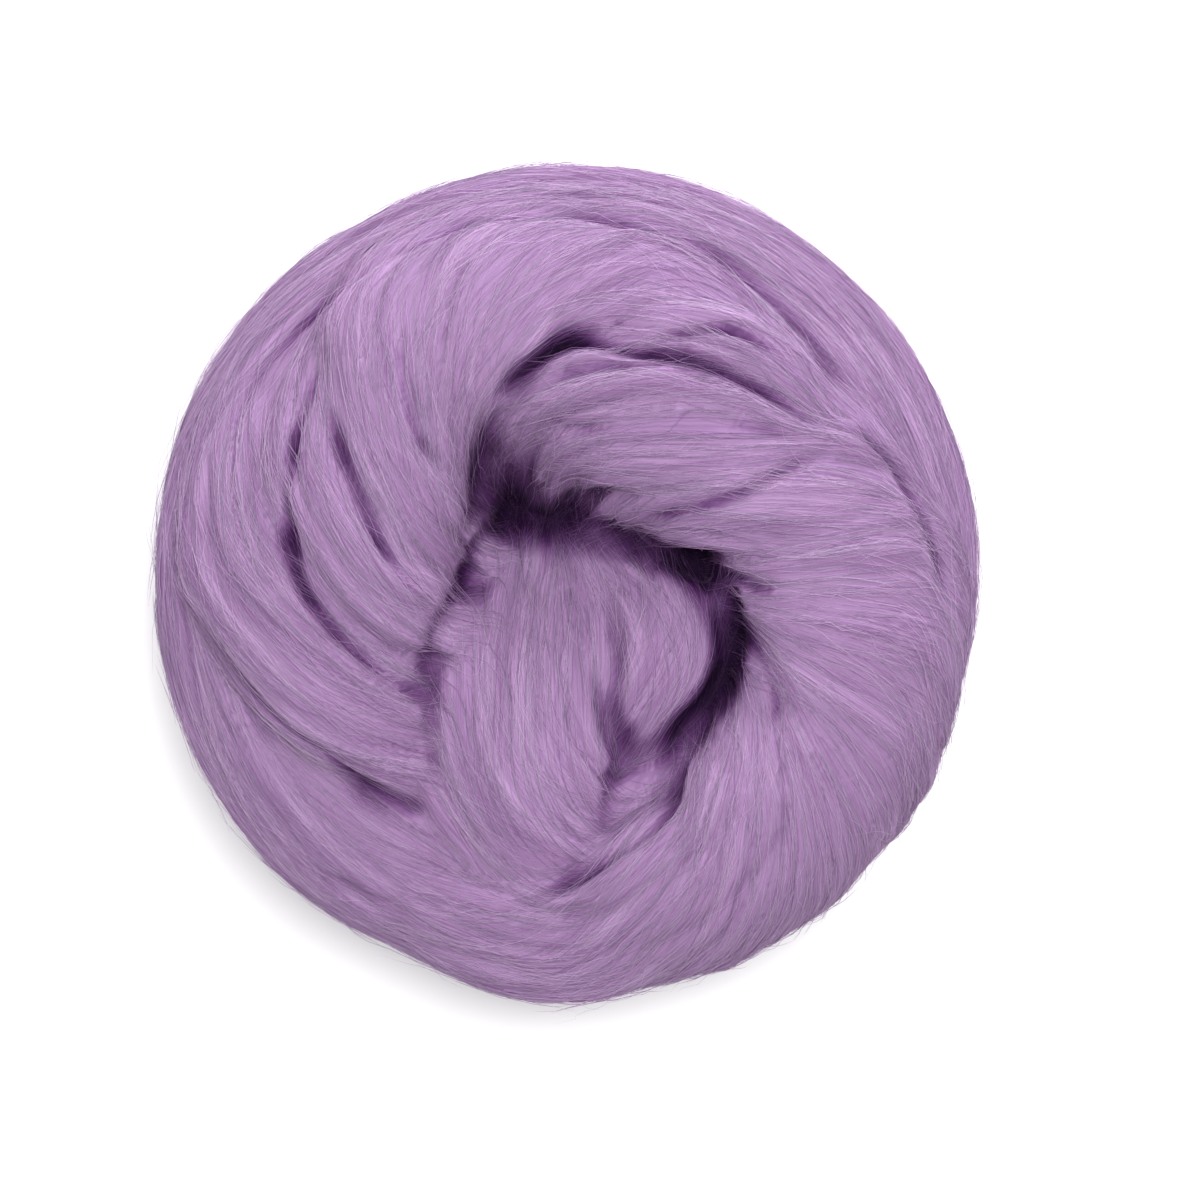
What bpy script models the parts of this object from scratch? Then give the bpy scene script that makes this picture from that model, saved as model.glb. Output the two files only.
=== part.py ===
"""A hand-wound ball of combed wool roving, lying on a table.

One long rope of roving, about 28 mm wide, is wound twice round the ball's side.
Its last turn lies on top as a twisted ring, whose locks climb over the rim and
turn inwards to the hollow in the middle. The end of the rope comes out of that
hollow as a bent lobe with a small curled tip, and dives back into it.

The wool clings to itself, so the ball is one solid. It is modelled as
overlapping locks, each a loft along its own curve, which are joined into one skin.
The tables are in millimetres. Bearings are in degrees, anticlockwise from +X seen
from above. The origin is on the table, under the middle of the ball.
"""

import math
from collections import namedtuple

import bpy
import numpy as np
from mathutils import Matrix

MM = 0.001

# The ball's driving sizes.
RIM_RADIUS = 59.0        # how far out the twisted ring's skin reaches, at its widest level
RIM_HEIGHT = 35.0        # that level
CREST_HEIGHT = 63.0      # top of the twisted ring over the table
CREST_RADIUS = 27.0      # the crest lies this far from the ball's middle
RING_RADIUS = 33.0       # circle that the twisted ring turns about
RING_HEIGHT = 36.0
RING_EAST = -2.5         # the ring sits a little off the side turns
RING_NORTH = -2.0
INNER_FALL = 6.0         # the ring's skin falls this far from the crest to the middle

# A lock goes on out of sight before its rim station and beyond its end station.
RIM_SINK = 8.5           # its middle lies this far under the ring's skin at the rim
FOOT_INSET = 3.0
FOOT_SHARE = 0.8         # of the lock's size at the rim
END_DEPTH = 0.9          # of the lock's thickness
TUCK_DROP = 13.0
TUCK_INSET = 7.0
TUCK_TURN = 0.4          # share of its own turn from the top to the end
TUCK_SHARE = 0.7         # of the lock's size at the end

# One row for each lock of the twisted ring. A lock rises at its rim station, crosses
# the ring at its top station and dives into the hollow at its end station. Each station
# has a bearing and a radius, and the lock passes over the crest halfway between the
# last two. Its foot is lead degrees before the rim station and drop lower. wide_* are
# its full widths, deep its full thickness and lift its rise over the ring's skin.
Lock = namedtuple(
    "Lock",
    "name lead drop rim_deg rim_r top_deg top_r end_deg end_r end_z wide_rim wide_top wide_end deep lift",
)
LOCKS = [
    Lock("crown_left", 36, 14, 94, 52.0, 119, 40.5, 152, 18.0, 46, 23, 23, 15, 15, 0.0),
    Lock("crown_mid", 34, 14, 74, 50.5, 101, 41.0, 130, 24.5, 47, 22, 25, 16, 15, 0.0),
    Lock("crown_inner", 22, 14, 66, 44.0, 92, 38.5, 116, 28.0, 46, 16, 18, 13, 14, 0.0),
    Lock("crown_right", 28, 14, 50, 49.5, 73, 43.5, 98, 34.0, 50, 18, 21, 13, 14, 0.0),
    Lock("ridge_outer", 8, 10, 30, 45.0, 54, 40.5, 87, 34.0, 53, 6, 10, 6, 10, 0.5),
    Lock("ridge_bright", 10, 10, 27, 44.0, 60, 31.5, 118, 21.5, 50, 8, 14, 11, 13, 1.0),
    Lock("ridge_inner", 10, 10, 25, 43.5, 47, 25.5, 100, 15.5, 46, 9, 17, 10, 14, 0.5),
    Lock("shoulder_upper", 14, 12, 10, 53.0, 20, 34.5, 48, 11.0, 46, 22, 24, 13, 15, 0.0),
    Lock("shoulder_lower", 14, 13, 357, 56.0, 4, 39.5, 5, 22.0, 47, 25, 24, 14, 15, -0.5),
    Lock("fan_upper", 16, 13, 346, 56.5, 350, 41.5, 353, 26.0, 46, 26, 23, 13, 16, -0.5),
    Lock("fan_middle", 18, 13, 330, 58.0, 336, 43.5, 343, 27.5, 45, 28, 25, 13, 16, -0.5),
    Lock("fan_lower", 20, 13, 314, 58.0, 322, 45.0, 335, 30.5, 45, 28, 24, 12, 16, -0.5),
    Lock("arm_inner", 22, 13, 299, 58.0, 309, 46.0, 326, 31.0, 44, 28, 24, 13, 16, 0.0),
    Lock("arm_middle", 24, 13, 280, 57.5, 297, 46.0, 320, 30.5, 44, 28, 24, 13, 16, 0.5),
    Lock("arm_outer", 30, 12, 240, 56.0, 277, 47.5, 305, 32.5, 45, 11, 21, 13, 15, 0.0),
    Lock("sweep_wide", 36, 14, 146, 54.0, 178, 42.5, 230, 31.0, 47, 14, 18, 17, 15, 0.0),
    Lock("sweep_bright", 34, 14, 132, 49.5, 156, 35.5, 210, 20.5, 47, 10, 13, 13, 15, 0.0),
    Lock("sweep_high", 32, 14, 114, 50.0, 137, 35.0, 168, 16.5, 46, 14, 15, 13, 15, 0.0),
]

# The turns of rope round the side, with a row for each section's middle and size. The
# last one is hidden wool that carries the locks where they cross the rim.
Section = namedtuple("Section", "bearing radius height wide deep")
SIDE_LOW = [
    Section(150, 38.0, 20, 22, 20),
    Section(200, 42.0, 24, 27, 27),
    Section(270, 43.0, 25, 28, 28),
    Section(340, 43.0, 26, 28, 29),
    Section(410, 43.5, 27, 28, 29),
    Section(480, 43.5, 27, 28, 29),
    Section(550, 43.0, 26, 27, 28),
    Section(600, 38.0, 24, 22, 22),
]
SIDE_HIGH = [
    Section(290, 34.0, 32, 18, 16),
    Section(330, 40.0, 36, 22, 24),
    Section(375, 41.0, 39, 22, 25),
    Section(420, 40.5, 40, 22, 26),
    Section(470, 41.0, 40, 22, 27),
    Section(520, 43.0, 40, 23, 27),
    Section(565, 45.0, 41, 25, 23),
    Section(600, 46.5, 40, 25, 20),
    Section(625, 46.5, 37, 22, 18),
    Section(650, 43.0, 32, 16, 14),
]
RIM_PAD = [
    Section(270, 40.0, 40, 16, 16),
    Section(290, 43.0, 43, 23, 21),
    Section(315, 43.5, 43.5, 24, 23),
    Section(345, 43.5, 43.5, 24, 22),
    Section(370, 42.0, 43.5, 23, 20),
    Section(395, 39.0, 44, 21, 18),
    Section(430, 39.0, 44.5, 20, 19),
    Section(465, 39.0, 45, 20, 19),
    Section(500, 39.5, 45, 20, 19),
    Section(540, 41.0, 44, 19, 19),
    Section(570, 40.0, 42, 14, 14),
]
TURN_RINGS = 120

# The underside: like locks, a fan from the middle up to the lower side turn.
UNDER_COUNT = 11
UNDER = [
    Section(-12, 47, 29, 24, 15),
    Section(0, 45, 19, 24, 15),
    Section(22, 37, 12, 21, 14),
    Section(44, 25, 7.5, 16, 13),
    Section(66, 12, 6, 10, 12),
    Section(90, 3, 9, 6, 8),
]

# The rope's end: the bent lobe, its curled tip in two strands, and the wool they lie on.
# top is the height of the skin at each bend.
Bend = namedtuple("Bend", "east north top wide deep")
TAIL = [
    Bend(-3.0, 15.0, 34, 16, 12),
    Bend(-4.5, 7.5, 45, 20, 18),
    Bend(-6.4, -4.0, 53, 23, 22),
    Bend(-7.0, -18.0, 56, 24, 23),
    Bend(-3.5, -32.0, 55, 25, 22),
    Bend(7.5, -37.5, 52, 20, 19),
    Bend(18.0, -32.0, 46, 14, 15),
    Bend(24.0, -25.0, 37, 10, 10),
]
TIP = [
    Bend(-1.0, 11.0, 36, 9, 9),
    Bend(5.0, 6.0, 46, 13, 14),
    Bend(12.0, -1.5, 51, 16, 17),
    Bend(14.0, -10.0, 53, 16, 18),
    Bend(11.5, -18.5, 50, 14, 16),
    Bend(7.5, -25.0, 44, 11, 12),
    Bend(3.0, -29.0, 36, 8, 8),
]
TIP_UNDER = [
    Bend(-1.0, 12.0, 38, 10, 9),
    Bend(4.0, 4.0, 47, 12, 12),
    Bend(6.5, -6.0, 49.5, 12, 13),
    Bend(5.0, -16.0, 49, 11, 12),
    Bend(2.0, -24.0, 44, 9, 10),
]
NEST = [
    Bend(3.0, 10.0, 42, 14, 14),
    Bend(4.0, 0.0, 46, 24, 16),
    Bend(4.0, -10.0, 47, 26, 16),
    Bend(4.0, -20.0, 46, 26, 16),
    Bend(6.0, -30.0, 42, 20, 14),
]

# Wool inside, out of sight: a flat heart, a ring under the twisted ring, and a sole.
HEART_RADII = (51.0, 51.0, 16.0)
HEART_HEIGHT = 23.0
FILL_RADIUS = 35.0
FILL_HEIGHT = 36.0
FILL_THICK = 12.5
SOLE_RADII = (38.0, 38.0, 12.0)
SOLE_HEIGHT = 12.5

# How the locks are drawn, and how fine the joined skin is.
LOCK_POINTS = 28         # round a lock's section
LOCK_RINGS = 44          # along a lock
BOXINESS = 0.9           # under 1 makes a section a little boxy
BLUNTNESS = 8            # how late a lock's ends round off
THINNEST = 0.02          # of its thickness at the very ends, squared
SKIN_STEP = 1.0          # the joined skin's grid
SKIN_SMOOTHING = 1
SKIN_SHARE = 0.105       # of the skin's triangles are kept
FLAT_SPOT_CUT = 1.5      # the ball's weight presses this much of it flat
CUTTER_SIZE = 200.0


def polar(bearing, radius, height):
    """A point by its bearing and radius about the middle of the ball."""
    turn = math.radians(bearing)
    return [radius * math.cos(turn), radius * math.sin(turn), height]


def smooth_rows(stations, count):
    """Evenly spaced rows of a smooth curve through the stations, whose first three columns are places."""
    stations = np.array(stations, float)
    steps = np.linalg.norm(np.diff(stations[:, :3], axis=0), axis=1)
    along = np.concatenate([[0], np.cumsum(steps)])
    slope = np.gradient(stations, along, axis=0)
    at = np.linspace(0, along[-1], count)
    i = np.clip(np.searchsorted(along, at, side="right") - 1, 0, len(along) - 2)
    span = (along[i + 1] - along[i])[:, None]
    t = (at - along[i])[:, None] / span
    ease = t * t * (3 - 2 * t)
    return (
        (1 - ease) * stations[i]
        + ease * stations[i + 1]
        + t * (1 - t) ** 2 * span * slope[i]
        - t * t * (1 - t) * span * slope[i + 1]
    )


def unit(vectors):
    return vectors / np.linalg.norm(vectors, axis=1, keepdims=True)


def away_from_ring(points):
    """Directions away from the circle that the twisted ring turns about."""
    middle = np.array([RING_EAST, RING_NORTH])
    circle = unit(points[:, :2] - middle) * RING_RADIUS + middle
    return points - np.column_stack([circle, np.full(len(points), RING_HEIGHT)])


def away_from_middle(points):
    return points - [0, 0, RIM_HEIGHT]


def outwards(points):
    return points * [1, 1, 0]


def upwards(points):
    return points * 0 + [0, 0, 1]


def loft(rows, facing):
    """A closed lock, from rows of x, y, z, width and depth. Its flat side turns the way that facing says."""
    points, half_wide, half_deep = rows[:, :3], rows[:, 3:4] / 2, rows[:, 4:5] / 2
    tangent = unit(np.gradient(points, axis=0))
    out = facing(points)
    out = unit(out - (out * tangent).sum(1, keepdims=True) * tangent)
    side = np.cross(tangent, out)
    share = np.linspace(-1, 1, len(rows))[:, None]
    blunt = np.sqrt(np.maximum(1 - share**BLUNTNESS, THINNEST))
    verts = []
    for turn in np.linspace(0, 2 * math.pi, LOCK_POINTS, endpoint=False):
        across = math.copysign(abs(math.cos(turn)) ** BOXINESS, math.cos(turn))
        outward = math.copysign(abs(math.sin(turn)) ** BOXINESS, math.sin(turn))
        verts.append(points + blunt * (side * half_wide * across + out * half_deep * outward))
    verts = np.array(verts).transpose(1, 0, 2).reshape(-1, 3) * MM
    faces = []
    for ring in range(0, len(verts) - LOCK_POINTS, LOCK_POINTS):
        for k in range(LOCK_POINTS):
            after = (k + 1) % LOCK_POINTS
            faces.append((ring + k, ring + after, ring + after + LOCK_POINTS, ring + k + LOCK_POINTS))
    faces.append(tuple(reversed(range(LOCK_POINTS))))
    faces.append(tuple(range(len(verts) - LOCK_POINTS, len(verts))))
    return verts, faces


def crest_height(radius):
    """The height of the ring's skin over the table, at a radius from the ball's middle."""
    if radius < CREST_RADIUS:
        return CREST_HEIGHT - INNER_FALL * (1 - radius / CREST_RADIUS)
    over = (radius - CREST_RADIUS) / (RIM_RADIUS - CREST_RADIUS)
    return RIM_HEIGHT + (CREST_HEIGHT - RIM_HEIGHT) * math.sqrt(1 - over**2)


def lock_rows(lock):
    """Rows along a lock of the ring, from its foot to where it is tucked in."""
    half = lock.deep / 2
    swing = (lock.end_deg - lock.top_deg + 180) % 360 - 180
    crest_r = (lock.top_r + lock.end_r) / 2
    crest_wide = (lock.wide_top + lock.wide_end) / 2
    rim_z = crest_height(lock.rim_r) - RIM_SINK
    top_z = crest_height(lock.top_r) + lock.lift - half
    crest_z = crest_height(crest_r) + lock.lift - half
    end_z = lock.end_z - half
    foot = polar(lock.rim_deg - lock.lead, lock.rim_r - FOOT_INSET - half, rim_z - lock.drop)
    rim = polar(lock.rim_deg, lock.rim_r - half, rim_z)
    top = polar(lock.top_deg, lock.top_r, top_z)
    crest = polar(lock.top_deg + swing / 2, crest_r, crest_z)
    end = polar(lock.end_deg, lock.end_r, end_z)
    tuck = polar(lock.end_deg + TUCK_TURN * swing, lock.end_r - TUCK_INSET, end_z - TUCK_DROP)
    return smooth_rows(
        [
            foot + [FOOT_SHARE * lock.wide_rim, FOOT_SHARE * lock.deep],
            rim + [lock.wide_rim, lock.deep],
            top + [lock.wide_top, lock.deep],
            crest + [crest_wide, lock.deep],
            end + [lock.wide_end, END_DEPTH * lock.deep],
            tuck + [TUCK_SHARE * lock.wide_end, TUCK_SHARE * lock.deep],
        ],
        LOCK_RINGS,
    )


def turn_rows(sections):
    """Rows along a turn of rope, smoothed by bearing so that its path stays round."""
    table = np.array(sections, float)
    bearing_first = np.insert(table, [1, 1], 0, axis=1)
    bearing, _, _, radius, height, wide, deep = smooth_rows(bearing_first, TURN_RINGS).T
    turn = np.radians(bearing)
    return np.column_stack([radius * np.cos(turn), radius * np.sin(turn), height, wide, deep])


def under_rows(index):
    start = 360 * index / UNDER_COUNT
    rows = [polar(start + s.bearing, s.radius, s.height) + [s.wide, s.deep] for s in UNDER]
    return smooth_rows(rows, LOCK_RINGS)


def bend_rows(bends):
    return smooth_rows([[b.east, b.north, b.top - b.deep / 2, b.wide, b.deep] for b in bends], LOCK_RINGS)


def every_lock():
    locks = [loft(lock_rows(lock), away_from_ring) for lock in LOCKS]
    locks += [loft(turn_rows(turn), outwards) for turn in (SIDE_LOW, SIDE_HIGH, RIM_PAD)]
    locks += [loft(under_rows(index), away_from_middle) for index in range(UNDER_COUNT)]
    locks += [loft(bend_rows(bends), upwards) for bends in (TAIL, TIP, TIP_UNDER, NEST)]
    return locks


def new_collection(name):
    collection = bpy.data.collections.new(name)
    bpy.context.scene.collection.children.link(collection)
    return collection


def move_to(obj, collection):
    for other in obj.users_collection:
        other.objects.unlink(obj)
    collection.objects.link(obj)


def lock_object(verts, faces, collection):
    mesh = bpy.data.meshes.new("lock")
    mesh.from_pydata([tuple(v) for v in verts], [], faces)
    obj = bpy.data.objects.new("lock", mesh)
    collection.objects.link(obj)
    return obj


def inner_wool():
    """The heart, the ring and the sole that fill the ball behind its locks."""
    made = []
    for radii, height in ((HEART_RADII, HEART_HEIGHT), (SOLE_RADII, SOLE_HEIGHT)):
        bpy.ops.mesh.primitive_uv_sphere_add(segments=48, ring_count=24, radius=1)
        made.append(bpy.context.object)
        made[-1].data.transform(Matrix.Diagonal([*(radius * MM for radius in radii), 1]))
        made[-1].data.transform(Matrix.Translation((0, 0, height * MM)))
    bpy.ops.mesh.primitive_torus_add(
        major_segments=64, minor_segments=24, major_radius=FILL_RADIUS * MM, minor_radius=FILL_THICK * MM
    )
    made.append(bpy.context.object)
    made[-1].data.transform(Matrix.Translation((0, 0, FILL_HEIGHT * MM)))
    return made


def floor_cutter(collection):
    """The table's upper side, pressed into the ball's lowest locks."""
    bpy.ops.mesh.primitive_cube_add(size=CUTTER_SIZE * MM)
    cutter = bpy.context.object
    cutter.name = "floor_cutter"
    cutter.data.transform(Matrix.Translation((0, 0, (FLAT_SPOT_CUT - CUTTER_SIZE / 2) * MM)))
    cutter.hide_render = True
    cutter.display_type = "WIRE"
    move_to(cutter, collection)
    return cutter


def joined_skin(pieces, cutter):
    """One object from all pieces, with the modifiers that make them one skin with a flat spot."""
    ball = pieces[0]
    with bpy.context.temp_override(active_object=ball, selected_editable_objects=pieces):
        bpy.ops.object.join()
    remesh = ball.modifiers.new("one skin", "REMESH")
    remesh.mode = "VOXEL"
    remesh.voxel_size = SKIN_STEP * MM
    smooth = ball.modifiers.new("soften creases", "SMOOTH")
    smooth.iterations = SKIN_SMOOTHING
    fewer = ball.modifiers.new("fewer faces", "DECIMATE")
    fewer.ratio = SKIN_SHARE
    cut = ball.modifiers.new("flat spot", "BOOLEAN")
    cut.operation = "DIFFERENCE"
    cut.object = cutter
    return ball


def settled(ball, collection):
    """The finished mesh on the table, with the origin under its middle."""
    graph = bpy.context.evaluated_depsgraph_get()
    mesh = bpy.data.meshes.new_from_object(ball.evaluated_get(graph))
    corners = np.array([vert.co for vert in mesh.vertices])
    low, high = corners.min(axis=0), corners.max(axis=0)
    mesh.transform(Matrix.Translation((-(low[0] + high[0]) / 2, -(low[1] + high[1]) / 2, -low[2])))
    mesh.shade_smooth()
    bpy.data.objects.remove(ball)
    mesh.name = "roving_ball"
    done = bpy.data.objects.new("roving_ball", mesh)
    collection.objects.link(done)
    return done


def lilac_wool():
    """Dyed combed wool: matt, with the soft bloom of fine fibres."""
    wool = bpy.data.materials.new("lilac_combed_wool")
    wool.use_nodes = True
    shader = wool.node_tree.nodes["Principled BSDF"]
    shader.inputs["Base Color"].default_value = (0.33, 0.19, 0.43, 1)
    shader.inputs["Roughness"].default_value = 0.85
    shader.inputs["Metallic"].default_value = 0.0
    shader.inputs["Sheen Weight"].default_value = 0.5
    return wool


def main():
    for obj in list(bpy.data.objects):
        bpy.data.objects.remove(obj)
    parts = new_collection("wool_roving_ball")
    cutters = new_collection("cutters")
    pieces = [lock_object(verts, faces, parts) for verts, faces in every_lock()] + inner_wool()
    ball = settled(joined_skin(pieces, floor_cutter(cutters)), parts)
    ball.data.materials.append(lilac_wool())


main()
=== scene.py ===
"""A hand-wound ball of lilac wool roving, seen from above on a pale table.

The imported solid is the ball's place and size. The wool here stands for it: the same
locks joined into one finer skin, and the combed fibres that lie on them.
"""

import math
from collections import namedtuple

import bpy
import numpy as np
from mathutils import Matrix, Vector
from mathutils.bvhtree import BVHTree
from mathutils.kdtree import KDTree


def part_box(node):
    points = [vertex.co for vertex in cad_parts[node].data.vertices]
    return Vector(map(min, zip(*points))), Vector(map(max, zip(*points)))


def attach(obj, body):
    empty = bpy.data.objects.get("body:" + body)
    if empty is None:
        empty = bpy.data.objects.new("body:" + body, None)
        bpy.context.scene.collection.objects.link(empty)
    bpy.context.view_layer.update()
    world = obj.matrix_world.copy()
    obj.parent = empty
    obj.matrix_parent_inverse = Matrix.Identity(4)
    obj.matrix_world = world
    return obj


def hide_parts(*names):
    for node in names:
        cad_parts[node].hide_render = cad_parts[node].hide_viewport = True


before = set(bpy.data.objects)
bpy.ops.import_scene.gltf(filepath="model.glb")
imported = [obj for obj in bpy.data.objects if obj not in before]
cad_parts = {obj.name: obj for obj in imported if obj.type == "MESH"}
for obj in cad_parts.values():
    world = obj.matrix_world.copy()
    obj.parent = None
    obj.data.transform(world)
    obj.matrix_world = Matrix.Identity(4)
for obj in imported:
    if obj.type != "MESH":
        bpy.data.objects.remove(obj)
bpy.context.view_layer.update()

# ---------------------------------------------------------------------------
# The wound wool: a loose rope of combed roving, about 28 mm wide, wound twice round
# the side and then twisted into a ring on top. It splits into flat locks where it is
# bent, and its end comes out of the hollow as a lobe.

# Lengths are in millimetres, and bearings in degrees anticlockwise from +X.
MM = 0.001

# The twisted ring.
RIM_RADIUS = 59.0  # how far out its skin reaches, at its widest level
RIM_HEIGHT = 35.0  # that level
CREST_HEIGHT = 63.0  # its top over the table
CREST_RADIUS = 27.0  # the crest lies this far from the ball's middle
INNER_FALL = 6.0  # and the skin falls this far from there to the middle
RING_RADIUS = 33.0  # circle that the ring turns about
RING_HEIGHT = 36.0
RING_EAST = -2.5  # it sits a little off the side turns
RING_NORTH = -2.0

# A lock goes on out of sight before its rim station and beyond its end station.
RIM_SINK = 8.5  # its middle lies this far under the ring's skin at the rim
FOOT_INSET = 3.0
FOOT_SHARE = 0.8  # of the lock's size at the rim
END_DEPTH = 0.9  # of the lock's thickness
TUCK_DROP = 13.0
TUCK_INSET = 7.0
TUCK_TURN = 0.4  # share of its own turn from the top to the end
TUCK_SHARE = 0.7  # of the lock's size at the end

# One row for each lock of the ring. A lock rises at its rim station, crosses the ring
# at its top station and dives into the hollow at its end station, each given by its
# bearing and radius. Its foot is lead degrees before the rim and drop lower. wide_* are
# its full widths, deep its full thickness, and lift its rise over the ring's skin.
Lock = namedtuple(
    "Lock",
    "name lead drop rim_deg rim_r top_deg top_r end_deg end_r end_z wide_rim wide_top wide_end deep lift",
)
LOCKS = [
    Lock("crown_left", 30, 14, 104, 51.5, 122, 40.5, 152, 18.0, 46, 22, 24, 16, 15, 0.0),
    Lock("crown_mid", 30, 14, 86, 50.0, 104, 39.5, 130, 22.5, 47, 20, 23, 16, 15, 0.0),
    Lock("crown_inner", 28, 14, 72, 48.0, 92, 38.0, 118, 26.5, 46, 18, 20, 12, 14, 0.0),
    Lock("crown_right", 22, 13, 56, 46.5, 77, 41.0, 103, 31.5, 49, 14, 18, 10, 14, 0.0),
    Lock("ridge_outer", 8, 10, 28, 43.5, 51, 38.5, 88, 32.5, 53, 6, 11, 8, 10, 0.5),
    Lock("ridge_bright", 10, 10, 25, 43.0, 60, 31.0, 118, 21.5, 50, 8, 14, 11, 13, 1.0),
    Lock("ridge_inner", 10, 10, 24, 42.5, 47, 25.5, 100, 15.5, 46, 9, 17, 10, 14, 0.5),
    Lock("shoulder_upper", 14, 12, 11, 49.5, 20, 34.5, 48, 11.0, 46, 19, 23, 13, 15, 0.0),
    Lock("shoulder_lower", 14, 13, 356, 56.0, 2, 39.5, 0, 22.5, 47, 25, 24, 12, 15, -0.5),
    Lock("fan_upper", 16, 13, 346, 56.5, 350, 41.5, 352, 26.0, 46, 26, 23, 13, 16, -0.5),
    Lock("fan_middle", 18, 13, 330, 58.0, 336, 43.5, 342, 27.5, 45, 28, 25, 13, 16, -0.5),
    Lock("fan_lower", 20, 13, 314, 58.0, 322, 45.0, 335, 30.0, 45, 28, 24, 12, 16, -0.5),
    Lock("arm_inner", 22, 13, 299, 58.0, 309, 46.0, 326, 30.0, 44, 28, 24, 13, 16, 0.0),
    Lock("arm_middle", 24, 13, 280, 57.5, 297, 46.0, 320, 31.0, 44, 28, 24, 12, 16, 0.5),
    Lock("arm_outer", 30, 12, 238, 54.5, 275, 48.0, 305, 34.0, 46, 19, 21.5, 11, 15, 0.2),
    Lock("sweep_wide", 36, 14, 146, 54.0, 178, 42.5, 234, 25.0, 48.0, 14, 21, 24, 15, 0.0),
    Lock("sweep_bright", 34, 14, 132, 49.5, 156, 35.5, 210, 14.5, 47.5, 11, 17, 15, 15, 0.5),
    Lock("sweep_high", 32, 14, 114, 50.0, 137, 34.0, 172, 13.5, 46, 14, 19, 15, 15, 0.0),
]

# The turns of rope round the side, with a row for each section's middle and size. The
# pad is hidden wool that carries the locks where they cross the rim.
Section = namedtuple("Section", "bearing radius height wide deep")
SIDE_LOW = [
    Section(150, 38.0, 20, 22, 20),
    Section(200, 42.0, 24, 27, 27),
    Section(270, 43.0, 25, 28, 28),
    Section(340, 43.0, 26, 28, 29),
    Section(410, 43.5, 27, 28, 29),
    Section(480, 43.5, 27, 28, 29),
    Section(550, 43.0, 26, 27, 28),
    Section(600, 38.0, 24, 22, 22),
]
SIDE_HIGH = [
    Section(290, 34.0, 32, 18, 16),
    Section(330, 40.0, 36, 22, 24),
    Section(375, 41.0, 39, 22, 25),
    Section(420, 40.5, 40, 22, 26),
    Section(470, 41.0, 40, 22, 27),
    Section(520, 43.0, 40, 23, 27),
    Section(565, 45.0, 41, 25, 23),
    Section(600, 46.5, 40, 25, 20),
    Section(625, 46.5, 37, 22, 18),
    Section(650, 43.0, 32, 16, 14),
]
RIM_PAD = [
    Section(270, 40.0, 40, 16, 16),
    Section(290, 43.0, 43, 23, 21),
    Section(315, 43.5, 43.5, 24, 23),
    Section(345, 43.5, 43.5, 24, 22),
    Section(370, 42.0, 43.5, 23, 20),
    Section(395, 39.0, 44, 21, 18),
    Section(430, 39.0, 44.5, 20, 19),
    Section(465, 39.0, 45, 20, 19),
    Section(500, 39.5, 45, 20, 19),
    Section(540, 41.0, 44, 19, 19),
    Section(572, 40.5, 45, 19, 19),
    Section(600, 39.5, 45, 18, 18),
    Section(625, 39.0, 41, 13, 13),
]

# The underside: like locks, a fan from the middle up to the lower turn.
UNDER_COUNT = 11
UNDER = [
    Section(-12, 47, 29, 24, 15),
    Section(0, 45, 19, 24, 15),
    Section(22, 37, 12, 21, 14),
    Section(44, 25, 7.5, 16, 13),
    Section(66, 12, 6, 10, 12),
    Section(90, 3, 9, 6, 8),
]

# The rope's end: the bent lobe, its curled tip in two strands, and the wool that they
# lie on. top is the height of the skin at each bend.
Bend = namedtuple("Bend", "east north top wide deep")
TAIL = [
    Bend(-4.0, 15.0, 28, 17, 12),
    Bend(-6.0, 7.5, 36, 24, 16),
    Bend(-8.0, -2.0, 46.5, 29, 20),
    Bend(-9.5, -14.0, 55, 32.5, 23),
    Bend(-8.0, -26.0, 57, 33, 23),
    Bend(1.0, -35.5, 54, 28, 20),
    Bend(12.0, -33.5, 48, 18, 16),
    Bend(18.0, -27.0, 38, 10, 10),
]
TIP = [
    Bend(1.0, 9.0, 36, 10, 9),
    Bend(7.5, 3.5, 46, 14.5, 13),
    Bend(12.9, -2.5, 52.5, 16.5, 16),
    Bend(14.3, -10.0, 56, 17.5, 18),
    Bend(11.0, -17.0, 53, 16, 16),
    Bend(6.5, -23.0, 45, 12, 12),
    Bend(3.0, -28.0, 36, 8, 8),
]
TIP_UNDER = [
    Bend(-1.0, 10.0, 34, 10, 9),
    Bend(3.5, 3.0, 43.5, 13, 12),
    Bend(6.5, -6.0, 50.5, 14, 13),
    Bend(6.0, -16.0, 51.5, 13, 12),
    Bend(3.0, -24.0, 47, 10, 10),
]
NEST = [
    Bend(3.0, 10.0, 38, 14, 12),
    Bend(4.0, 0.0, 44, 26, 14),
    Bend(5.0, -10.0, 45, 30, 14),
    Bend(4.0, -20.0, 45, 30, 14),
    Bend(6.0, -30.0, 42, 24, 12),
]

LOCK_RINGS = 96  # along a lock
TURN_RINGS = 300  # along a turn


def polar(bearing, radius, height):
    """A point by its bearing and radius about the middle of the ball."""
    turn = math.radians(bearing)
    return [radius * math.cos(turn), radius * math.sin(turn), height]


def smooth_rows(stations, count):
    """Evenly spaced rows of a smooth curve through the stations, whose first three columns are places."""
    stations = np.array(stations, float)
    steps = np.linalg.norm(np.diff(stations[:, :3], axis=0), axis=1)
    along = np.concatenate([[0], np.cumsum(steps)])
    slope = np.gradient(stations, along, axis=0)
    at = np.linspace(0, along[-1], count)
    i = np.clip(np.searchsorted(along, at, side="right") - 1, 0, len(along) - 2)
    span = (along[i + 1] - along[i])[:, None]
    t = (at - along[i])[:, None] / span
    ease = t * t * (3 - 2 * t)
    return (
        (1 - ease) * stations[i]
        + ease * stations[i + 1]
        + t * (1 - t) ** 2 * span * slope[i]
        - t * t * (1 - t) * span * slope[i + 1]
    )


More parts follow.
